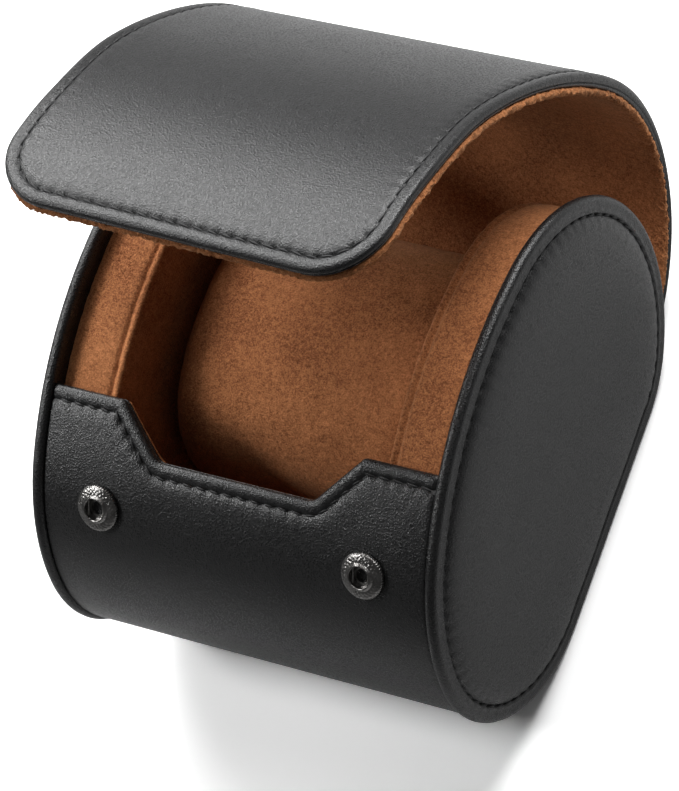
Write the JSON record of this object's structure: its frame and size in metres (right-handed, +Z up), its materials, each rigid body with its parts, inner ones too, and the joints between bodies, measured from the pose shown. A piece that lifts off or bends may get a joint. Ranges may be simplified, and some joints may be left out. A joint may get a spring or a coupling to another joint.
{
  "type": "watch travel case",
  "caption": "Soft watch travel case: leather strip and padded cheeks form a pocket, base and wrap-over lid with snap fasteners, suede lining and a removable watch pillow",
  "frame": {"origin": "centre of the flat underside, midway between the two cheeks, on the surface the case stands on", "axes": "+X to the case's right across its width, +Y to the back where the lid is hinged, +Z up; the front pocket faces -Y"},
  "size_m": [0.1012, 0.1297, 0.1227],
  "materials": {
    "leather": "soft-grained black leather",
    "suede": "napped brown suede",
    "foam": "foam and wadding",
    "board": "stiffening board",
    "gunmetal": "polished gunmetal",
    "spring_steel": "bright"
  },
  "bodies": {
    "case": {"right_face": "leather", "right_face_pad": "foam", "right_board": "board", "right_rim": "leather", "right_gusset": "suede", "right_core": "foam", "right_inner": "suede", "left_face": "leather", "left_face_pad": "foam", "left_board": "board", "left_rim": "leather", "left_gusset": "suede", "left_core": "foam", "left_inner": "suede", "pocket_leather": "leather", "pocket_board": "board", "pocket_lining": "suede", "right_socket": "gunmetal", "left_socket": "gunmetal", "socket_springs": "spring_steel", "socket_posts": "spring_steel", "hinge_leather": "leather", "hinge_lining": "suede"},
    "lid_back": {"lid_back_leather": "leather", "lid_back_board": "board", "lid_back_lining": "suede", "flex_leather": "leather", "flex_lining": "suede"},
    "lid_front": {"lid_front_leather": "leather", "lid_front_board": "board", "lid_front_lining": "suede", "right_stud": "gunmetal", "left_stud": "gunmetal", "stud_anchors": "spring_steel"},
    "pillow": {"pillow_cover": "suede", "pillow_core": "foam"}
  },
  "joints": [
    {"name": "lid_hinge", "type": "hinge", "parent": "case", "child": "lid_back", "pos_m": [0, 0.038, 0.0006], "axis": [1, 0, 0], "range_deg": [-19, 28], "deforming": ["hinge_leather", "hinge_lining"]},
    {"name": "lid_flex", "type": "hinge", "parent": "lid_back", "child": "lid_front", "pos_m": [0, 0.0726, 0.05643], "axis": [1, 0, 0], "range_deg": [0, 21.4], "deforming": ["flex_leather", "flex_lining"]},
    {"name": "pillow_lift", "type": "slide", "parent": "case", "child": "pillow", "axis": [0, 0, 1], "range_m": [0, 0.006]}
  ]
}
